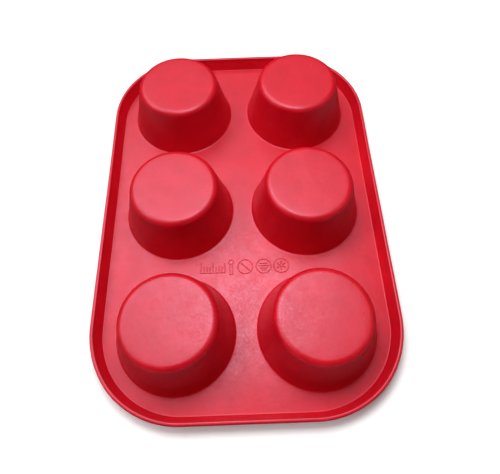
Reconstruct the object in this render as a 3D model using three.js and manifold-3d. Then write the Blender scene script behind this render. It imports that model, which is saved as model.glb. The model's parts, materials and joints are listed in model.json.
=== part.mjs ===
// A muffin mould with two columns and three rows of cups, pressed in one piece from red silicone rubber.
// Lengths are in millimetres.
//
// It lies upside down, the way it is stored: z = 0 is the food-side face of its deck, and the closed ends
// of the cups point up. X runs across the two columns and Y along the three rows. The origin is the
// middle of the deck's food-side face.
//
// The one moulding is kept as the regions that a user can name: for each row of cups its stretch of deck,
// skirt and lip, and for each cup its wall and its floor. Two motions part them.
// - The mould bends between its rows, where the deck has no cup to stiffen it. The bend lines run along X
//   on the deck's upper face. Above them, regions of neighbouring rows stop short of each other along a V,
//   wide enough for the rows to close on each other by BEND_ANGLE.
// - Each floor can be pushed into its cup, along -Z, which is how a muffin is let go, while the wall round
//   it folds up.
// Neighbouring regions stop SPLIT apart.

import * as THREE from "three";
import { mergeVertices } from "three/addons/utils/BufferGeometryUtils.js";
import Module from "manifold-3d";

// Driving dimensions.
const WALL = 1.8;
const SPLIT = 0.3;
const BEND_ANGLE = THREE.MathUtils.degToRad(24);

const DECK_WIDTH = 171.2; // the flat of the deck, between the feet of the skirt
const DECK_LENGTH = 257.2;
const DECK_CORNER_R = 49.8;

const CUP_PITCH = 83; // the same across and along the mould
const CUP_ROOT_R = 35; // outside of the wall, where it would meet the deck's upper face
const CUP_HEIGHT = 32.4; // above the deck's upper face
const CUP_FLAT_R = 23.3; // flat part of the floor
const HEEL_R = 4.2; // rounding between the floor and the wall, outside
const FILLET_R = 1; // hollow rounding at the foot of the cups and of the skirt, on the upper side

const LIP_R = 1.2; // the bead along the skirt's edge
const LIP_OFFSET = 4.05; // its centre, outwards from the deck's outline
const LIP_HEIGHT = 7.3; // its centre, above the deck's upper face

// Facets.
const ROUND_SEGMENTS = 36;
const CORNER_STEPS = 6;
const ARC_STEPS = 3;

const ROWS = ["near", "middle", "far"];
const SIDES = ["left", "right"];
const deckTop = WALL;

// ---------------------------------------------------------------------------------------------------
// Shapes shared by several regions

function silicone(colour, roughness) {
  return new THREE.MeshStandardMaterial({ color: colour, roughness, metalness: 0 });
}

// Points of an arc in a section plane, both ends included. Angles are in radians.
function arc(centre, radius, from, to, steps = ARC_STEPS) {
  const points = [];
  for (let i = 0; i <= steps; i += 1) {
    const angle = from + ((to - from) * i) / steps;
    points.push([centre[0] + radius * Math.cos(angle), centre[1] + radius * Math.sin(angle)]);
  }
  return points;
}

// The rounded outline of the deck, moved outwards by offset.
function deckOutline(offset) {
  const x = DECK_WIDTH / 2 - DECK_CORNER_R;
  const y = DECK_LENGTH / 2 - DECK_CORNER_R;
  const radius = DECK_CORNER_R + offset;
  const quarter = Math.PI / 2;
  const outline = new THREE.Shape();
  outline.absarc(x, y, radius, 0, quarter);
  outline.absarc(-x, y, radius, quarter, 2 * quarter);
  outline.absarc(-x, -y, radius, 2 * quarter, 3 * quarter);
  outline.absarc(x, -y, radius, 3 * quarter, 4 * quarter);
  return outline;
}

// A closed ring that follows the deck's outline. Its section is a list of [offset, z].
function edgeRing(section) {
  const loops = section.map(([offset, z]) =>
    deckOutline(offset)
      .getPoints(CORNER_STEPS)
      .map((point) => [point.x, point.y, z]),
  );
  const around = loops[0].length;
  const index = [];
  for (let i = 0; i < loops.length; i += 1) {
    const here = i * around;
    const there = ((i + 1) % loops.length) * around;
    for (let j = 0; j < around; j += 1) {
      const k = (j + 1) % around;
      index.push(here + j, there + j, here + k, here + k, there + j, there + k);
    }
  }
  const geometry = new THREE.BufferGeometry();
  geometry.setAttribute("position", new THREE.Float32BufferAttribute(loops.flat(2), 3));
  geometry.setIndex(index);
  geometry.computeVertexNormals();
  return geometry;
}

// A solid of revolution about Z. Its profile is a list of [radius, z].
function turned(profile) {
  const points = profile.map(([radius, z]) => new THREE.Vector2(radius, z));
  return new THREE.LatheGeometry(points, ROUND_SEGMENTS).rotateX(Math.PI / 2);
}

// ---------------------------------------------------------------------------------------------------
// The cups' section. The outside of the wall is the line through the root that touches the heel's rounding.

const cupTop = deckTop + CUP_HEIGHT;
const heelCentre = [CUP_FLAT_R, cupTop - HEEL_R];
const heelToRoot = [CUP_ROOT_R - heelCentre[0], heelCentre[1] - deckTop];
const draft = Math.acos(HEEL_R / Math.hypot(...heelToRoot)) - Math.atan2(heelToRoot[1], heelToRoot[0]);
const rootBend = [CUP_ROOT_R + FILLET_R * Math.tan((Math.PI / 2 - draft) / 2), deckTop + FILLET_R];
const flangeR = rootBend[0] + FILLET_R + SPLIT;
const floorUnderside = cupTop - WALL;
const wallTop = floorUnderside - SPLIT;
const heelAngle = (radius, z) => Math.asin((z - heelCentre[1]) / radius);

// ---------------------------------------------------------------------------------------------------
// Deck

// The deck panel stops where the hollow roundings at the cups and at the skirt begin. Each cup's wall
// starts with a flange of radius flangeR, and the skirt with a flange of its own.
const deckInset = FILLET_R + SPLIT;

function cupPlaces() {
  const places = [];
  ROWS.forEach((row, rowIndex) => {
    SIDES.forEach((side, sideIndex) => {
      const x = (sideIndex - 0.5) * CUP_PITCH;
      const y = (rowIndex - 1) * CUP_PITCH;
      places.push({ name: `${row}_${side}`, x, y });
    });
  });
  return places;
}

function deckPanel() {
  const shape = deckOutline(-deckInset);
  cupPlaces().forEach(({ x, y }) => {
    const hole = new THREE.Path();
    hole.absarc(x, y, flangeR + SPLIT, 0, 2 * Math.PI);
    shape.holes.push(hole);
  });
  const options = { depth: WALL, bevelEnabled: false, curveSegments: ROUND_SEGMENTS / 2 };
  return new THREE.ExtrudeGeometry(shape, options);
}

// ---------------------------------------------------------------------------------------------------
// Skirt and lip. The skirt leans outwards, and its mid-surface runs into the middle of the lip.

const lipReach = Math.hypot(LIP_OFFSET, LIP_HEIGHT);
const skirtRise = Math.atan2(LIP_HEIGHT, LIP_OFFSET) + Math.asin(WALL / 2 / lipReach);
const skirtInner = (z) => (z - deckTop) / Math.tan(skirtRise);
const skirtOuter = (z) => skirtInner(z) + WALL / Math.sin(skirtRise);
const lipCentre = [LIP_OFFSET, deckTop + LIP_HEIGHT];
const skirtTop = lipCentre[1] - LIP_R / 2;

function skirtSection() {
  const bend = [-FILLET_R * Math.tan(skirtRise / 2), deckTop + FILLET_R];
  const down = -Math.PI / 2;
  return [
    [SPLIT - deckInset, deckTop],
    ...arc(bend, FILLET_R, down, down + skirtRise),
    [skirtInner(skirtTop), skirtTop],
    [skirtOuter(skirtTop), skirtTop],
    ...arc(bend, FILLET_R + WALL, down + skirtRise, down),
    [SPLIT - deckInset, 0],
  ];
}

function lipSection() {
  const foot = skirtTop + SPLIT;
  return [
    ...arc(lipCentre, LIP_R, Math.PI, 0, 2 * ARC_STEPS),
    [skirtOuter(foot), foot],
    [skirtInner(foot), foot],
  ];
}

// ---------------------------------------------------------------------------------------------------
// Cups

function cupWallProfile() {
  const down = 1.5 * Math.PI;
  const alongWall = Math.PI + draft;
  const innerHeelR = HEEL_R - WALL;
  const profile = [
    [flangeR, deckTop],
    ...arc(rootBend, FILLET_R, down, alongWall),
    ...arc(heelCentre, HEEL_R, draft, heelAngle(HEEL_R, wallTop), 1),
    ...arc(heelCentre, innerHeelR, heelAngle(innerHeelR, wallTop), draft, 2),
    ...arc(rootBend, FILLET_R + WALL, alongWall, down),
    [flangeR, 0],
  ];
  return [...profile, profile[0]];
}

function cupFloorProfile() {
  return [
    [0, floorUnderside],
    ...arc(heelCentre, HEEL_R, heelAngle(HEEL_R, floorUnderside), Math.PI / 2),
    [0, cupTop],
  ];
}

// ---------------------------------------------------------------------------------------------------
// Rows. A region that runs through all three rows is cut along the bend lines.

const wasm = await Module();
wasm.setup();

function toSolid(geometry) {
  const bare = geometry.clone();
  bare.deleteAttribute("normal");
  bare.deleteAttribute("uv");
  const merged = mergeVertices(bare);
  const vertProperties = merged.getAttribute("position").array;
  const triVerts = new Uint32Array(merged.getIndex().array);
  return new wasm.Manifold(new wasm.Mesh({ numProp: 3, vertProperties, triVerts }));
}

function toGeometry(solid) {
  const mesh = solid.getMesh();
  const geometry = new THREE.BufferGeometry();
  geometry.setAttribute("position", new THREE.Float32BufferAttribute(mesh.vertProperties, 3));
  geometry.setIndex(Array.from(mesh.triVerts));
  geometry.computeVertexNormals();
  return geometry;
}

// A block that runs along X between two values of x, over a convex outline of [y, z] points.
function blockAlongX(outline, fromX, toX) {
  const shape = new THREE.Shape(outline.map(([y, z]) => new THREE.Vector2(y, z)));
  const geometry = new THREE.ExtrudeGeometry(shape, { depth: toX - fromX, bevelEnabled: false });
  const [x, y, z] = [new THREE.Vector3(1, 0, 0), new THREE.Vector3(0, 1, 0), new THREE.Vector3(0, 0, 1)];
  geometry.applyMatrix4(new THREE.Matrix4().makeBasis(y, z, x)).translate(fromX, 0, 0);
  return toSolid(geometry);
}

// The space of one row between the bend lines, from x = fromX to x = toX.
function rowSpace(row, fromX, toX) {
  const below = -1;
  const above = 2 * LIP_HEIGHT;
  const beyond = DECK_LENGTH;
  const bendY = CUP_PITCH / 2;
  const gap = (z) => SPLIT / 2 + Math.max(z - deckTop, 0) * Math.tan(BEND_ANGLE / 2);
  const edges = {
    near: [() => -beyond, (z) => -bendY - gap(z)],
    middle: [(z) => -bendY + gap(z), (z) => bendY - gap(z)],
    far: [(z) => bendY + gap(z), () => beyond],
  };
  const [from, to] = edges[row];
  const heights = [below, deckTop, above];
  const outline = [
    ...heights.map((z) => [to(z), z]),
    ...heights.toReversed().map((z) => [from(z), z]),
  ];
  return blockAlongX(outline, fromX, toX);
}

function rowOf(geometry, row, fromX = -DECK_WIDTH, toX = DECK_WIDTH) {
  return toGeometry(toSolid(geometry).intersect(rowSpace(row, fromX, toX)));
}

// ---------------------------------------------------------------------------------------------------
// The mould

const DECK_RED = 0xd8404e;
const SKIRT_RED = 0xb01020;
const LIP_RED = 0xdd5664;
const WALL_RED = 0xa8101c;
const FLOOR_RED = 0xd63f4d;
const SATIN = 0.5;

const mould = new THREE.Group();
mould.name = "muffin_mould";

function place(name, geometry, colour, x = 0, y = 0) {
  const mesh = new THREE.Mesh(geometry, silicone(colour, SATIN));
  mesh.name = name;
  mesh.position.set(x, y, 0);
  mould.add(mesh);
}

const deck = deckPanel();
ROWS.forEach((row) => place(`deck_${row}`, rowOf(deck, row), DECK_RED));

const edges = [
  ["skirt", edgeRing(skirtSection()), SKIRT_RED],
  ["lip", edgeRing(lipSection()), LIP_RED],
];
edges.forEach(([name, ring, colour]) => {
  place(`${name}_near`, rowOf(ring, "near"), colour);
  place(`${name}_far`, rowOf(ring, "far"), colour);
  place(`${name}_left`, rowOf(ring, "middle", -DECK_WIDTH, 0), colour);
  place(`${name}_right`, rowOf(ring, "middle", 0, DECK_WIDTH), colour);
});

const cupWall = turned(cupWallProfile());
const cupFloor = turned(cupFloorProfile());
cupPlaces().forEach(({ name, x, y }) => {
  place(`cup_wall_${name}`, cupWall, WALL_RED, x, y);
  place(`cup_floor_${name}`, cupFloor, FLOOR_RED, x, y);
});

export default mould;
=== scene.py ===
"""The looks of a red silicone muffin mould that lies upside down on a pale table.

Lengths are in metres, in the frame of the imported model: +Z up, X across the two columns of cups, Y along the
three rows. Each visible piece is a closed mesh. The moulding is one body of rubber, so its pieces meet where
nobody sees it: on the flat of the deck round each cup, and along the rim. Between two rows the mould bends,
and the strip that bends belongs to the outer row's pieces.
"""

import json
import math

import bmesh
import bpy
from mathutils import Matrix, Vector, noise


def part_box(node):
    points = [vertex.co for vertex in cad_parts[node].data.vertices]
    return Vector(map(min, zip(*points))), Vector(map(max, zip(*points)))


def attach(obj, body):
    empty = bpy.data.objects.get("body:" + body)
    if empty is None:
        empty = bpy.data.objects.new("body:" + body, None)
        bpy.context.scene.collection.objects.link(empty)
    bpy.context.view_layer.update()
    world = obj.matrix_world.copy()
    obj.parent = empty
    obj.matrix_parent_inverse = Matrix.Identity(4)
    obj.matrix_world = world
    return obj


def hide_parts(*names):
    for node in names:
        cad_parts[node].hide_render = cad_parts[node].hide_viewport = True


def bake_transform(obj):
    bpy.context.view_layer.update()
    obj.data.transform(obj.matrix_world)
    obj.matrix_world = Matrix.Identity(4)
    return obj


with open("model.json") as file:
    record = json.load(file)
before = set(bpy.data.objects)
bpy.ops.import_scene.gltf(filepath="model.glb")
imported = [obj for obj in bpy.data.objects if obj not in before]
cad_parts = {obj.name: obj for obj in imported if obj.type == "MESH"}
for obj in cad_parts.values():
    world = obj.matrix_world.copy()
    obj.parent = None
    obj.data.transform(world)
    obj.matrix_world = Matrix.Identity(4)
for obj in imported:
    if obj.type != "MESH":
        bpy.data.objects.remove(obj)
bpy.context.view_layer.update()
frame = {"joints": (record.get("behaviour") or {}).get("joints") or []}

MM = 0.001

# ---------------------------------------------------------------------------------------------------
# Sizes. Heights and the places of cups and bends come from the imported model.

ROWS = ("near", "middle", "far")
CUPS = [(row, side) for row in ROWS for side in ("left", "right")]
MIDDLE = "row_middle"

DECK_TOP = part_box("deck_middle")[1].z
WALL = DECK_TOP
CUP_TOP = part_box("cup_floor_near_left")[1].z
BEND_Y = {joint["child"]: joint["pos_m"][1] for joint in frame["joints"] if joint["type"] == "hinge"}

DECK_HALF = (85.6 * MM, 128.6 * MM)
DECK_CORNER_R = 49.8 * MM
FILLET_R = 1.0 * MM  # hollow rounding at the foot of the cups
SKIRT_FILLET_R = 0.5 * MM  # the same at the foot of the skirt
HEEL_R = 4.2 * MM  # rounding between a cup's floor and its wall, outside
CUP_ROOT_R = 35.0 * MM  # outside of a cup's wall, carried down to the deck's upper face
CUP_FLAT_R = 23.3 * MM
LIP_R = 1.2 * MM
LIP_OFFSET = 4.05 * MM
LIP_HEIGHT = 7.3 * MM

RIM_SEAM = -1.15 * MM  # where deck and rim meet, outwards from the deck's outline
CUP_SEAM_R = 37.22 * MM  # where deck and cup meet
WEB_HALF = 3.9 * MM  # half the width of the strip that bends between two rows

ROUND_STEPS = 120  # points round a cup
CORNER_STEPS = 40  # strips round one corner of the rim
BEND_STEPS = 12  # strips across a bend
GRID = 4.5 * MM  # widest cell of the flat deck
SHARP = math.radians(38)

# ---------------------------------------------------------------------------------------------------
# Unevenness of soft rubber. Every piece uses the same field, so that the pieces still meet.

SWELL = 0.10 * MM  # how far the faces above the table rise and fall
SWELL_SPAN = 24 * MM  # how far apart the rises are, about
SWELL_UPWARDS = 0.2  # how much faster the swell changes along the faces than up the walls
RIM_WANDER = 0.35 * MM  # how far the rim strays inwards from a straight line
WANDER_SPAN = 38 * MM
WANDER_LEVEL = 7.0 * MM  # height at which the rim's straying is read, for all of its section
WANDER_ONSET_X = (0.90, 10.0)  # share of the deck's half size where straying sets in, and how fast
WANDER_ONSET_Y = (0.93, 14.0)


def onset(share, start, rate):
    """Rises from 0 where share passes start, up to 1."""
    return min(max(share - start, 0.0) * rate, 1.0)


def uneven(point):
    """Moves a point a little: up and down on the upper faces, and inwards along the rim."""
    x, y, z = point
    above_table = min(z / DECK_TOP, 1.0)
    swell = SWELL * noise.noise(Vector((x, y, SWELL_UPWARDS * z)) / SWELL_SPAN) * above_table
    if z > CUP_TOP - WALL:
        swell = -abs(swell)
    stray = 0.5 + 0.5 * noise.noise(Vector((x, y, WANDER_LEVEL)) / WANDER_SPAN)
    inwards = RIM_WANDER * min(stray, 1.0)
    return (
        x - math.copysign(onset(abs(x) / DECK_HALF[0], *WANDER_ONSET_X) * inwards, x),
        y - math.copysign(onset(abs(y) / DECK_HALF[1], *WANDER_ONSET_Y) * inwards, y),
        z + swell,
    )


# ---------------------------------------------------------------------------------------------------
# Materials


class Silicone:
    """Self-coloured silicone rubber: a mottled red body, a skin whose gloss varies, and a fine grain."""

    def __init__(self, name):
        self.material = bpy.data.materials.new(name)
        self.material.use_nodes = True
        self.nodes = self.material.node_tree.nodes
        self.links = self.material.node_tree.links
        self.shader = self.nodes["Principled BSDF"]
        self.place = self.nodes.new("ShaderNodeTexCoord")

    def noise(self, scale, detail, roughness):
        node = self.nodes.new("ShaderNodeTexNoise")
        node.inputs["Scale"].default_value = scale
        node.inputs["Detail"].default_value = detail
        node.inputs["Roughness"].default_value = roughness
        self.links.new(self.place.outputs["Object"], node.inputs["Vector"])
        return node.outputs["Fac"]

    def spread(self, value, low, high, start=0.3, end=0.7):
        node = self.nodes.new("ShaderNodeMapRange")
        node.inputs["From Min"].default_value = start
        node.inputs["From Max"].default_value = end
        node.inputs["To Min"].default_value = low
        node.inputs["To Max"].default_value = high
        self.links.new(value, node.inputs["Value"])
        return node.outputs["Result"]

    def mix(self, factor, first, second):
        """A colour between two; first may be a colour or another node's output."""
        node = self.nodes.new("ShaderNodeMix")
        node.data_type = "RGBA"
        self.links.new(factor, node.inputs["Factor"])
        if isinstance(first, tuple):
            node.inputs["A"].default_value = (*first, 1)
        else:
            self.links.new(first, node.inputs["A"])
        node.inputs["B"].default_value = (*second, 1)
        return node.outputs["Result"]

    def add(self, first, second):
        node = self.nodes.new("ShaderNodeMath")
        self.links.new(first, node.inputs[0])
        self.links.new(second, node.inputs[1])
        return node.outputs[0]

    def bump(self, height, depth, strength, under=None):
        node = self.nodes.new("ShaderNodeBump")
        node.inputs["Strength"].default_value = strength
        node.inputs["Distance"].default_value = depth
        self.links.new(height, node.inputs["Height"])
        if under is not None:
            self.links.new(under, node.inputs["Normal"])
        return node.outputs["Normal"]


BODY_RED = (0.60, 0.0010, 0.0105)
DEEP_RED = (0.51, 0.0007, 0.0080)
PALE_RED = (0.68, 0.0085, 0.0210)  # where a faint bloom of silicone oil lies on the skin
BLOOM = 0.35  # how much of it there is in the haziest patches
GRAIN = 0.60  # how much of it there is on single grains, where the skin is matt
GLOSS_GRAIN = 0.09  # how much the roughness varies from grain to grain, where the skin is matt
SKIN_SPECULAR = 0.67
SKIN_SHINE = (1.0, 0.78, 1.0)  # the skin's haze is a little cooler than the light on it
SILICONE_IOR = 1.45

# Textures: repeats per metre, number of finer layers, and how strong the finer layers are.
CLOUDS = (60, 4, 0.6)
BLOOM_PATCHES = (95, 3, 0.55)
GLOSS_PATCHES = (150, 3, 0.6)
SPECKLE = (700, 3, 0.75)
FINE_GRAIN = (2200, 3, 0.6)
ORANGE_PEEL = (330, 2, 0.5)
WAVES = (45, 2, 0.5)

FINE_STRENGTH = 0.5
PEEL_STRENGTH = 0.15
PEEL_DEPTH = 4  # times the depth of the fine grain
WAVE_STRENGTH = 0.25
WAVE_DEPTH = 0.5 * MM
BLOOM_ONSET = {"start": 0.45, "end": 0.75}  # values of the noise between which the bloom sets in
GRAIN_ONSET = {"start": 0.50, "end": 0.80}


def rubber(name, gloss, matt, depth):
    """Red silicone. gloss is the range of its roughness, matt tells how strongly single grains show, from
    0 to 1, and depth is how deep the skin's texture is."""
    skin = Silicone(name)
    shader = skin.shader
    shader.inputs["IOR"].default_value = SILICONE_IOR
    shader.inputs["Specular IOR Level"].default_value = SKIN_SPECULAR
    shader.inputs["Specular Tint"].default_value = (*SKIN_SHINE, 1)
    speckle = skin.noise(*SPECKLE)
    cloudy = skin.mix(skin.spread(skin.noise(*CLOUDS), 0, 1), BODY_RED, DEEP_RED)
    bloom = skin.spread(skin.noise(*BLOOM_PATCHES), 0, BLOOM, **BLOOM_ONSET)
    hazy = skin.mix(bloom, cloudy, PALE_RED)
    grains = skin.spread(speckle, 0, matt * GRAIN, **GRAIN_ONSET)
    skin.links.new(skin.mix(grains, hazy, PALE_RED), shader.inputs["Base Color"])
    patches = skin.spread(skin.noise(*GLOSS_PATCHES), *gloss)
    scatter = skin.spread(speckle, -matt * GLOSS_GRAIN, matt * GLOSS_GRAIN)
    skin.links.new(skin.add(patches, scatter), shader.inputs["Roughness"])
    fine = skin.bump(skin.noise(*FINE_GRAIN), depth, FINE_STRENGTH)
    orange_peel = skin.bump(skin.noise(*ORANGE_PEEL), PEEL_DEPTH * depth, PEEL_STRENGTH, under=fine)
    waves = skin.bump(skin.noise(*WAVES), WAVE_DEPTH, WAVE_STRENGTH, under=orange_peel)
    skin.links.new(waves, shader.inputs["Normal"])
    return skin.material


# The outer side faced the matt half of the pressing tool. The food side was pressed smooth, so that it lets
# go of food.
OUTER, FOOD = 0, 1
SKINS = [
    rubber("silicone_matt", (0.33, 0.42), 1.0, 0.08 * MM),
    rubber("silicone_smooth", (0.24, 0.30), 0.05, 0.01 * MM),
]

# ---------------------------------------------------------------------------------------------------
# Mesh helpers


def make_piece(name, verts, faces, sides):
    """A closed mesh object. sides says for each face whether it is on the outer or on the food side."""
    mesh = bpy.data.meshes.new(name)
    mesh.from_pydata([uneven(point) for point in verts], [], faces)
    mesh.polygons.foreach_set("material_index", sides)
    solid = bmesh.new()
    solid.from_mesh(mesh)
    bmesh.ops.recalc_face_normals(solid, faces=solid.faces)
    solid.to_mesh(mesh)
    solid.free()
    mesh.shade_smooth()
    mesh.set_sharp_from_angle(angle=SHARP)
    for skin in SKINS:
        mesh.materials.append(skin)
    piece = bpy.data.objects.new(name, mesh)
    bpy.context.scene.collection.objects.link(piece)
    return piece


def arc(centre, radius, start, end, steps):
    """Points of an arc in a plane, both ends included, angles in degrees."""
    points = []
    for i in range(steps + 1):
        angle = math.radians(start + (end - start) * i / steps)
        points.append((centre[0] + radius * math.cos(angle), centre[1] + radius * math.sin(angle)))
    return points


def between(start, end, steps):
    """Points of the straight run from start to end, both ends left out."""
    return [tuple(a + (b - a) * i / steps for a, b in zip(start, end)) for i in range(1, steps)]


def spaced(start, end, widest):
    """Numbers from start to end, both included, no further apart than widest."""
    steps = max(math.ceil(abs(end - start) / widest), 1)
    return [start + (end - start) * i / steps for i in range(steps + 1)]


def bend_lines(row):
    """The values of y across the bend beside an outer row, from the middle row outwards."""
    centre = BEND_Y[f"row_{row}"]
    outwards = math.copysign(WEB_HALF, centre)
    return spaced(centre - outwards, centre + outwards, 2 * WEB_HALF / BEND_STEPS)


def follow_bend(piece):
    """Bakes the piece's place into its mesh."""
    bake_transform(piece)


# ---------------------------------------------------------------------------------------------------
# Deck: a flat sheet with a round hole for each cup


def cup_centre(row, side):
    low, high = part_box(f"cup_wall_{row}_{side}")
    return (low.x + high.x) / 2, (low.y + high.y) / 2


def circle(centre, radius):
    return arc(centre, radius, 0, 360, ROUND_STEPS)[:-1]


def deck_outline(offset):
    """Points of the deck's rounded outline, moved outwards by offset."""
    corner_x = DECK_HALF[0] - DECK_CORNER_R
    corner_y = DECK_HALF[1] - DECK_CORNER_R
    radius = DECK_CORNER_R + offset
    points = []
    for start, sign_x, sign_y in ((0, 1, 1), (90, -1, 1), (180, -1, -1), (270, 1, -1)):
        centre = (sign_x * corner_x, sign_y * corner_y)
        points += arc(centre, radius, start, start + 90, CORNER_STEPS)
    return points


def cut_along(sheet, normal_axis, value):
    plane_point = [0, 0, 0]
    plane_normal = [0, 0, 0]
    plane_point[normal_axis] = value
    plane_normal[normal_axis] = 1
    everything = sheet.verts[:] + sheet.edges[:] + sheet.faces[:]
    bmesh.ops.bisect_plane(sheet, geom=everything, plane_co=plane_point, plane_no=plane_normal)


def deck_sheet():
    """The deck's upper face, cut into cells, and along the lines where it bends."""
    sheet = bmesh.new()
    edges = []
    for loop in [deck_outline(RIM_SEAM)] + [circle(cup_centre(*cup), CUP_SEAM_R) for cup in CUPS]:
        points = [sheet.verts.new((x, y, DECK_TOP)) for x, y in loop]
        edges += [sheet.edges.new((a, b)) for a, b in zip(points, points[1:] + points[:1])]
    bmesh.ops.triangle_fill(sheet, use_beauty=True, use_dissolve=False, edges=edges, normal=(0, 0, 1))
    far_lines = bend_lines("far")
    cuts_y = spaced(-far_lines[0], far_lines[0], GRID)[1:-1]
    for row in ("near", "far"):
        lines = bend_lines(row)
        cuts_y += lines
        cuts_y += spaced(lines[-1], math.copysign(DECK_HALF[1], lines[-1]), GRID)[1:-1]
    for y in cuts_y:
        cut_along(sheet, 1, y)
    for x in spaced(-DECK_HALF[0], DECK_HALF[0], GRID)[1:-1]:
        cut_along(sheet, 0, x)
    return sheet


def row_of(y):
    if y < bend_lines("near")[0]:
        return "near"
    return "far" if y > bend_lines("far")[0] else "middle"


def make_deck(sheet, row):
    """The part of the sheet that belongs to one row, made into a slab as thick as the wall."""
    own = [face for face in sheet.faces if row_of(face.calc_center_median().y) == row]
    number = {}
    top = []
    for face in own:
        for vert in face.verts:
            if vert not in number:
                number[vert] = len(top)
                top.append(tuple(vert.co))
    count = len(top)
    verts = top + [(x, y, 0.0) for x, y, _ in top]
    owned = set(own)
    faces = []
    sides = []
    for face in own:
        loop = [number[vert] for vert in face.verts]
        faces += [tuple(loop), tuple(i + count for i in reversed(loop))]
        sides += [OUTER, FOOD]
        for edge in face.edges:
            if sum(neighbour in owned for neighbour in edge.link_faces) == 1:
                a, b = (number[vert] for vert in edge.verts)
                faces.append((a, b, b + count, a + count))
                sides.append(OUTER)
    return make_piece(f"sheet_{row}", verts, faces, sides)


# ---------------------------------------------------------------------------------------------------
# Rim: the skirt leans outwards and ends in a round lip with the fine fin of the pressing tool's joint

RISE = math.degrees(
    math.atan2(LIP_HEIGHT, LIP_OFFSET) + math.asin(WALL / 2 / math.hypot(LIP_OFFSET, LIP_HEIGHT))
)
FIN = 0.10 * MM  # how far the fin stands out of the lip
FIN_SPREAD = 5.0  # degrees of the lip on each side of the fin
LIP_SQUARENESS = 3.0  # 2 would make the lip's section a circle; more flattens its top and its outside
FOOT_STEPS = 6  # strips round the hollow where the skirt leaves the deck
SHOULDER_STEPS = 10  # and round the same bend on the food side
SKIRT_STEPS = 7
LIP_INNER_STEPS = 20
LIP_OUTER_STEPS = 8


def bend_centre(radius):
    """Centre of a hollow rounding between the deck's upper face and the skirt's inner face."""
    return (-radius * math.tan(math.radians(RISE) / 2), DECK_TOP + radius)


def lip_arc(centre, radius, start, end, steps):
    """An arc of the lip, drawn out towards the corners of the square round it."""
    points = []
    for x, z in arc((0.0, 0.0), 1.0, start, end, steps):
        reach = radius / (abs(x) ** LIP_SQUARENESS + abs(z) ** LIP_SQUARENESS) ** (1 / LIP_SQUARENESS)
        points.append((centre[0] + reach * x, centre[1] + reach * z))
    return points


def rim_section():
    """Points (offset, z) round the rim's section, and for each following face its side."""
    lip = (LIP_OFFSET, DECK_TOP + LIP_HEIGHT)
    bead = LIP_R - FIN
    hug = math.degrees(math.asin(WALL / 2 / bead))
    foot = arc(bend_centre(SKIRT_FILLET_R), SKIRT_FILLET_R, -90, RISE - 90, FOOT_STEPS)
    lip_inner = lip_arc(lip, bead, RISE + 180 - hug, FIN_SPREAD, LIP_INNER_STEPS)
    lip_outer = lip_arc(lip, bead, -FIN_SPREAD, RISE - 180 + hug, LIP_OUTER_STEPS)
    shoulder = arc(bend_centre(FILLET_R), FILLET_R + WALL, RISE - 90, -90, SHOULDER_STEPS)
    outer_side = (
        [(RIM_SEAM, DECK_TOP)]
        + foot
        + between(foot[-1], lip_inner[0], SKIRT_STEPS)
        + lip_inner
        + [(LIP_OFFSET + LIP_R, lip[1])]
    )
    food_side = (
        lip_outer
        + between(lip_outer[-1], shoulder[0], SKIRT_STEPS)
        + shoulder
        + [(RIM_SEAM, 0.0)]
    )
    sides = [OUTER] * (len(outer_side) - 1) + [FOOD] * len(food_side) + [OUTER]
    return outer_side + food_side, sides


def side_run(sign, ys):
    """Stations (point on the outline, outward direction) along a long side of the deck."""
    return [((sign * DECK_HALF[0], y), (sign, 0.0)) for y in ys]


def corner_run(sign_x, start, end):
    """Stations round a corner at the near end, angles in degrees, both ends included."""
    centre = (sign_x * (DECK_HALF[0] - DECK_CORNER_R), DECK_CORNER_R - DECK_HALF[1])
    outward = arc((0.0, 0.0), 1.0, start, end, CORNER_STEPS)
    return [
        ((centre[0] + DECK_CORNER_R * nx, centre[1] + DECK_CORNER_R * ny), (nx, ny))
        for nx, ny in outward
    ]


def end_stations(row):
    """Stations round an outer row, from the right end of its bend to the left end."""
    lines = bend_lines("near")
    straight_end = DECK_CORNER_R - DECK_HALF[1]
    ys = lines + spaced(lines[-1], straight_end, GRID)[1:-1]
    inner_x = DECK_HALF[0] - DECK_CORNER_R
    across = [((x, -DECK_HALF[1]), (0.0, -1.0)) for x in spaced(inner_x, -inner_x, GRID)[1:-1]]
    stations = (
        side_run(1, ys)
        + corner_run(1, 0, -90)
        + across
        + corner_run(-1, -90, -180)
        + side_run(-1, reversed(ys))
    )
    if row == "far":
        stations = [((x, -y), (nx, -ny)) for (x, y), (nx, ny) in stations]
    return stations


def make_rim(name, stations):
    """The rim's section swept along the stations, with flat ends."""
    section, section_sides = rim_section()
    around = len(section)
    verts = [
        (x + nx * offset, y + ny * offset, z)
        for (x, y), (nx, ny) in stations
        for offset, z in section
    ]
    faces = []
    sides = []
    for i in range(len(stations) - 1):
        for j in range(around):
            a, b = i * around + j, i * around + (j + 1) % around
            faces.append((a, b, b + around, a + around))
            sides.append(section_sides[j])
    last = (len(stations) - 1) * around
    faces += [tuple(range(around)), tuple(range(last, last + around))]
    sides += [OUTER, OUTER]
    return make_piece(name, verts, faces, sides)


# ---------------------------------------------------------------------------------------------------
# Cups: a tapered wall and a flat floor, turned about the cup's axis

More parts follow.
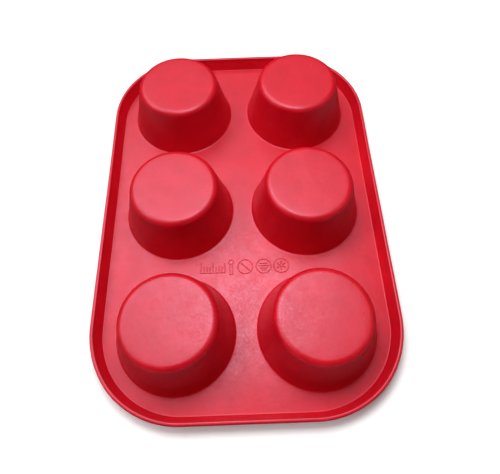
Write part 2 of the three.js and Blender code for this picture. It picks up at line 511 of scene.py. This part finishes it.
HEEL = (CUP_FLAT_R, CUP_TOP - HEEL_R)
HEEL_TO_ROOT = (CUP_ROOT_R - HEEL[0], HEEL[1] - DECK_TOP)
DRAFT = math.degrees(
    math.acos(HEEL_R / math.hypot(*HEEL_TO_ROOT)) - math.atan2(HEEL_TO_ROOT[1], HEEL_TO_ROOT[0])
)
DISH = 0.15 * MM  # how far the middle of a floor has sunk, as thick rubber does when it cools
GATE_R = 1.5 * MM  # round mark in the middle of a floor, where the rubber was let in
GATE_DEPTH = 0.02 * MM
GATE_RINGS = (1.0, 0.79, 0.4)  # rings of points round the mark, as shares of its radius
GATE_FLOOR = 0.8  # share of its radius inside which the mark is at its full depth
FLOOR_GAP = 2.5 * MM  # between the rings of points on a floor
FLOOR_INNER = (4 * MM, 3 * MM, 2 * MM)  # the rings next to the mark
ROOT_STEPS = 6
HEEL_STEPS = 12
INNER_HEEL_STEPS = 6
MOUTH_STEPS = 8
WALL_STEPS = 20


def floor_height(radius):
    """Height of a floor's upper face: flush at its edge, dished inside, with the gate's mark."""
    inside = max(1 - (radius / CUP_FLAT_R) ** 2, 0.0)
    mark = 1.0 if radius < GATE_FLOOR * GATE_R else 0.0
    return CUP_TOP - DISH * inside**2 - GATE_DEPTH * mark


def cup_profile():
    """Points (radius, z) of the outside from the deck up to the axis, and of the inside back down."""
    root = (CUP_ROOT_R + FILLET_R * math.tan(math.radians(90 - DRAFT) / 2), DECK_TOP + FILLET_R)
    outer_root = arc(root, FILLET_R, 270, 180 + DRAFT, ROOT_STEPS)
    outer_heel = arc(HEEL, HEEL_R, DRAFT, 90, HEEL_STEPS)
    inner_heel = arc(HEEL, HEEL_R - WALL, 90, DRAFT, INNER_HEEL_STEPS)
    mouth = arc(root, FILLET_R + WALL, 180 + DRAFT, 270, MOUTH_STEPS)
    floor_radii = spaced(CUP_FLAT_R, FLOOR_INNER[0], FLOOR_GAP)[1:] + list(FLOOR_INNER[1:])
    mark_radii = [share * GATE_R for share in GATE_RINGS]
    outside = (
        [(CUP_SEAM_R, DECK_TOP)]
        + outer_root
        + between(outer_root[-1], outer_heel[0], WALL_STEPS)
        + outer_heel
        + [(radius, floor_height(radius)) for radius in floor_radii + mark_radii]
    )
    inside = (
        [(radius, CUP_TOP - WALL) for radius in reversed(mark_radii + floor_radii[1:])]
        + inner_heel
        + between(inner_heel[-1], mouth[0], WALL_STEPS)
        + mouth
        + [(CUP_SEAM_R, 0.0)]
    )
    return outside, inside


def make_cup(row, side):
    cx, cy = cup_centre(row, side)
    outside, inside = cup_profile()
    profile = outside + inside
    verts = [(x, y, z) for radius, z in profile for x, y in circle((cx, cy), radius)]
    top_pole = len(verts)
    verts += [(cx, cy, floor_height(0.0)), (cx, cy, CUP_TOP - WALL)]
    faces = []
    sides = []

    def ring_to_ring(first, second, skin):
        for j in range(ROUND_STEPS):
            k = (j + 1) % ROUND_STEPS
            here, there = first * ROUND_STEPS, second * ROUND_STEPS
            faces.append((here + j, here + k, there + k, there + j))
            sides.append(skin)

    def ring_to_pole(ring, pole, skin):
        for j in range(ROUND_STEPS):
            k = (j + 1) % ROUND_STEPS
            faces.append((ring * ROUND_STEPS + j, ring * ROUND_STEPS + k, pole))
            sides.append(skin)

    innermost = len(outside) - 1
    for ring in range(innermost):
        ring_to_ring(ring, ring + 1, OUTER)
    ring_to_pole(innermost, top_pole, OUTER)
    ring_to_pole(innermost + 1, top_pole + 1, FOOD)
    for ring in range(innermost + 1, len(profile) - 1):
        ring_to_ring(ring, ring + 1, FOOD)
    ring_to_ring(len(profile) - 1, 0, OUTER)
    return make_piece(f"cup_{row}_{side}", verts, faces, sides)


# ---------------------------------------------------------------------------------------------------
# Raised signs: plain marks in thin round-topped lines, in a row between two rows of cups

SIGN_Y = BEND_Y["row_near"]
SIGN_HEIGHT = 0.50 * MM
SIGN_LINE = 0.40 * MM  # half the width of a line at its foot
SIGN_CELL = 0.13 * MM
SIGN_SUNK = 0.06 * MM  # how far a sign's skirt reaches below the deck's upper face
SIGN_BASE = 0.5 * MM  # how far its flat bottom does
SIGN_FULLNESS = 1.6  # 1 would make a line's section a parabola; more flattens its top
RING_R = 4.7 * MM
RING_STROKE_X = 0.5 * MM
RING_BARS_X = 12.2 * MM
RING_STAR_X = 23.3 * MM
BARS = (  # place above the ring's middle, half length
    (1.9 * MM, 2.3 * MM),
    (0.3 * MM, 2.9 * MM),
    (-1.3 * MM, 2.1 * MM),
    (-2.7 * MM, 1.1 * MM),
)
STAR_ARM = 2.9 * MM
STEM_X = -8.5 * MM
STEM_HALF_WIDTH = 0.85 * MM
STEM_HALF = 4.9 * MM
BULB_R = 1.5 * MM
SCALE_X = -20.0 * MM
SCALE_HALF_WIDTH = 7.5 * MM
SCALE_HALF = 3.6 * MM
TICKS = 9
TALL_TICK_EVERY = 4
TALL_TICK = 6.4 * MM
SHORT_TICK = 3.6 * MM


def line(x0, y0, x1, y1):
    """The distance to a straight line, as a function of a point."""
    length_2 = (x1 - x0) ** 2 + (y1 - y0) ** 2

    def distance(x, y):
        t = ((x - x0) * (x1 - x0) + (y - y0) * (y1 - y0)) / length_2
        t = min(max(t, 0.0), 1.0)
        return math.hypot(x - x0 - t * (x1 - x0), y - y0 - t * (y1 - y0))

    return distance


def ring(cx, cy, radius):
    """The distance to a circle, as a function of a point."""
    return lambda x, y: abs(math.hypot(x - cx, y - cy) - radius)


def sign_height(strokes, x, y):
    """Height above the deck's upper face, from the nearest stroke. It is negative beside the strokes."""
    distance = min(stroke(x, y) for stroke in strokes) / SIGN_LINE
    return SIGN_HEIGHT * max(min(SIGN_FULLNESS * (1 - distance**2), 1.0), -SIGN_SUNK / SIGN_HEIGHT)


def make_sign(name, strokes, low, high):
    """A sign in the box from low to high, as one solid whose flanks dip under the deck's upper face."""
    columns = spaced(low[0], high[0], SIGN_CELL)
    rows = spaced(low[1], high[1], SIGN_CELL)
    height = {
        (i, j): sign_height(strokes, x, y) for i, x in enumerate(columns) for j, y in enumerate(rows)
    }
    cells = set()
    for i in range(len(columns) - 1):
        for j in range(len(rows) - 1):
            corners = [(i, j), (i + 1, j), (i + 1, j + 1), (i, j + 1)]
            if any(height[corner] > -SIGN_SUNK for corner in corners):
                cells.add((i, j))
    number = {}
    verts = []

    def vertex(corner, upper):
        if (corner, upper) not in number:
            number[corner, upper] = len(verts)
            above = height[corner] if upper else -SIGN_BASE
            verts.append((columns[corner[0]], rows[corner[1]], DECK_TOP + above))
        return number[corner, upper]

    faces = []
    for i, j in sorted(cells):
        corners = [(i, j), (i + 1, j), (i + 1, j + 1), (i, j + 1)]
        faces.append(tuple(vertex(corner, True) for corner in corners))
        faces.append(tuple(vertex(corner, False) for corner in reversed(corners)))
        neighbours = [(i, j - 1), (i + 1, j), (i, j + 1), (i - 1, j)]
        for side, neighbour in enumerate(neighbours):
            if neighbour not in cells:
                a, b = corners[side], corners[(side + 1) % 4]
                faces.append((vertex(a, False), vertex(b, False), vertex(b, True), vertex(a, True)))
    piece = make_piece(name, verts, faces, [OUTER] * len(faces))
    follow_bend(piece)
    return piece


def sign_box(cx, half_x, half_y):
    edge = 2 * SIGN_LINE
    return (
        (cx - half_x - edge, SIGN_Y - half_y - edge),
        (cx + half_x + edge, SIGN_Y + half_y + edge),
    )


def make_ringed_sign(name, cx, strokes):
    """A sign inside a ring round (cx, SIGN_Y)."""
    make_sign(name, [ring(cx, SIGN_Y, RING_R)] + strokes, *sign_box(cx, RING_R, RING_R))


def make_signs():
    diagonal = RING_R * math.sqrt(0.5)
    left, right = RING_STROKE_X - diagonal, RING_STROKE_X + diagonal
    stroke = line(left, SIGN_Y + diagonal, right, SIGN_Y - diagonal)
    make_ringed_sign("sign_ring_stroke", RING_STROKE_X, [stroke])

    bars = [line(RING_BARS_X - half, SIGN_Y + y, RING_BARS_X + half, SIGN_Y + y) for y, half in BARS]
    make_ringed_sign("sign_ring_bars", RING_BARS_X, bars)

    spokes = []
    for angle in (30, 90, 150):
        dx = STAR_ARM * math.cos(math.radians(angle))
        dy = STAR_ARM * math.sin(math.radians(angle))
        spokes.append(line(RING_STAR_X - dx, SIGN_Y - dy, RING_STAR_X + dx, SIGN_Y + dy))
    make_ringed_sign("sign_ring_star", RING_STAR_X, spokes)

    bulb_y = SIGN_Y + STEM_HALF - BULB_R
    foot_y = SIGN_Y - STEM_HALF
    left, right = STEM_X - STEM_HALF_WIDTH, STEM_X + STEM_HALF_WIDTH
    stem = [
        ring(STEM_X, bulb_y, BULB_R),
        line(left, bulb_y - BULB_R, left, foot_y),
        line(right, bulb_y - BULB_R, right, foot_y),
        line(left, foot_y, right, foot_y),
    ]
    make_sign("sign_stem", stem, *sign_box(STEM_X, BULB_R, STEM_HALF))

    scale_foot = SIGN_Y - SCALE_HALF
    left, right = SCALE_X - SCALE_HALF_WIDTH, SCALE_X + SCALE_HALF_WIDTH
    scale = [line(left, scale_foot, right, scale_foot)]
    for i in range(TICKS):
        x = left + 2 * SCALE_HALF_WIDTH * i / (TICKS - 1)
        tick = TALL_TICK if i % TALL_TICK_EVERY == 0 else SHORT_TICK
        scale.append(line(x, scale_foot, x, scale_foot + tick))
    make_sign("sign_scale", scale, *sign_box(SCALE_X, SCALE_HALF_WIDTH, SCALE_HALF))


# ---------------------------------------------------------------------------------------------------
# The mould

sheet = deck_sheet()
for row in ROWS:
    deck = make_deck(sheet, row)
    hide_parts(f"deck_{row}")
    if row == "middle":
        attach(deck, MIDDLE)
    else:
        follow_bend(deck)
sheet.free()

for row in ("near", "far"):
    rim = make_rim(f"rim_{row}", end_stations(row))
    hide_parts(f"skirt_{row}", f"lip_{row}")
    follow_bend(rim)

middle_ys = spaced(bend_lines("near")[0], bend_lines("far")[0], GRID)
for side, sign in (("left", -1), ("right", 1)):
    rim = make_rim(f"rim_{side}", side_run(sign, middle_ys))
    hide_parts(f"skirt_{side}", f"lip_{side}")
    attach(rim, MIDDLE)

for row, side in CUPS:
    cup = make_cup(row, side)
    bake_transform(cup)
    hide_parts(f"cup_wall_{row}_{side}", f"cup_floor_{row}_{side}")

make_signs()

# ---------------------------------------------------------------------------------------------------
# Stage: floor, light and camera

FLOOR_WHITE = 0.96
FLOOR_HALF = 3.0
FLOOR_GLOW = 0.15
SOFTBOXES = (
    # name, direction it stands in, strength
    ("softbox_back", (0.0, 0.52, 0.85), 0.45),
    ("softbox_left", (-0.64, 0.0, 0.77), 0.78),
    ("softbox_corner", (-0.42, 0.42, 0.80), 1.05),
    ("softbox_right", (0.64, 0.0, 0.77), 0.18),
)
SOFTBOX_SPREAD = math.radians(31)  # how wide a softbox looks from the mould
LAMP_AT = (0.0, 0.06, 0.41)
LAMP_WIDTH = 0.2
LAMP_POWER = 1.10
ROOM_LIGHT = 0.02
BACKDROP = 0.75
CAMERA_SENSOR = 36  # width in millimetres, like the lens
CAMERA_LENS = 31.6
CAMERA_SHIFT = (0.0092, -0.0084)
CAMERA_AT = (0.56 * MM, -145.6 * MM, 260.4 * MM)
CAMERA_TURN = (26.3, 0.74, -1.89)  # degrees about X, Y and Z


def make_floor():
    corners = [(x * FLOOR_HALF, y * FLOOR_HALF, 0.0) for x, y in ((-1, -1), (1, -1), (1, 1), (-1, 1))]
    mesh = bpy.data.meshes.new("floor")
    mesh.from_pydata(corners, [], [(0, 1, 2, 3)])
    material = bpy.data.materials.new("floor_paint")
    material.use_nodes = True
    shader = material.node_tree.nodes["Principled BSDF"]
    shader.inputs["Base Color"].default_value = (FLOOR_WHITE, FLOOR_WHITE, FLOOR_WHITE, 1)
    shader.inputs["Roughness"].default_value = 0.9
    shader.inputs["Emission Color"].default_value = (1.0, 1.0, 1.0, 1)
    shader.inputs["Emission Strength"].default_value = FLOOR_GLOW
    mesh.materials.append(material)
    floor = bpy.data.objects.new("floor", mesh)
    bpy.context.scene.collection.objects.link(floor)
    floor.visible_glossy = False  # the room beside the table is dim, and the rubber mirrors the room


def make_lights():
    """Softboxes far enough away to light the whole floor evenly, and a lamp close above the mould."""
    for name, direction, strength in SOFTBOXES:
        data = bpy.data.lights.new(name, "SUN")
        data.angle = SOFTBOX_SPREAD
        data.energy = strength
        softbox = bpy.data.objects.new(name, data)
        softbox.location = direction
        softbox.rotation_euler = (-Vector(direction)).to_track_quat("-Z", "Y").to_euler()
        bpy.context.scene.collection.objects.link(softbox)
    data = bpy.data.lights.new("lamp_above", "AREA")
    data.size = LAMP_WIDTH
    data.energy = LAMP_POWER
    lamp = bpy.data.objects.new("lamp_above", data)
    lamp.location = LAMP_AT
    bpy.context.scene.collection.objects.link(lamp)


def make_world():
    """A pale backdrop behind the floor, in a room that is dim itself."""
    world = bpy.data.worlds.new("studio")
    world.use_nodes = True
    nodes, links = world.node_tree.nodes, world.node_tree.links
    room = nodes["Background"]
    room.inputs["Color"].default_value = (1.0, 1.0, 1.0, 1)
    room.inputs["Strength"].default_value = ROOM_LIGHT
    backdrop = nodes.new("ShaderNodeBackground")
    backdrop.inputs["Color"].default_value = (1.0, 1.0, 1.0, 1)
    backdrop.inputs["Strength"].default_value = BACKDROP
    seen = nodes.new("ShaderNodeMixShader")
    links.new(nodes.new("ShaderNodeLightPath").outputs["Is Camera Ray"], seen.inputs[0])
    links.new(room.outputs[0], seen.inputs[1])
    links.new(backdrop.outputs[0], seen.inputs[2])
    links.new(seen.outputs[0], nodes["World Output"].inputs["Surface"])
    bpy.context.scene.world = world


def make_camera():
    """The camera looks down on the mould from its near end, 26 degrees from the vertical."""
    data = bpy.data.cameras.new("camera")
    data.sensor_width = CAMERA_SENSOR
    data.lens = CAMERA_LENS
    data.shift_x, data.shift_y = CAMERA_SHIFT
    camera = bpy.data.objects.new("camera", data)
    camera.location = CAMERA_AT
    camera.rotation_euler = [math.radians(angle) for angle in CAMERA_TURN]
    bpy.context.scene.collection.objects.link(camera)
    bpy.context.scene.camera = camera


make_floor()
make_lights()
make_world()
make_camera()
bpy.context.scene.view_settings.view_transform = "Standard"
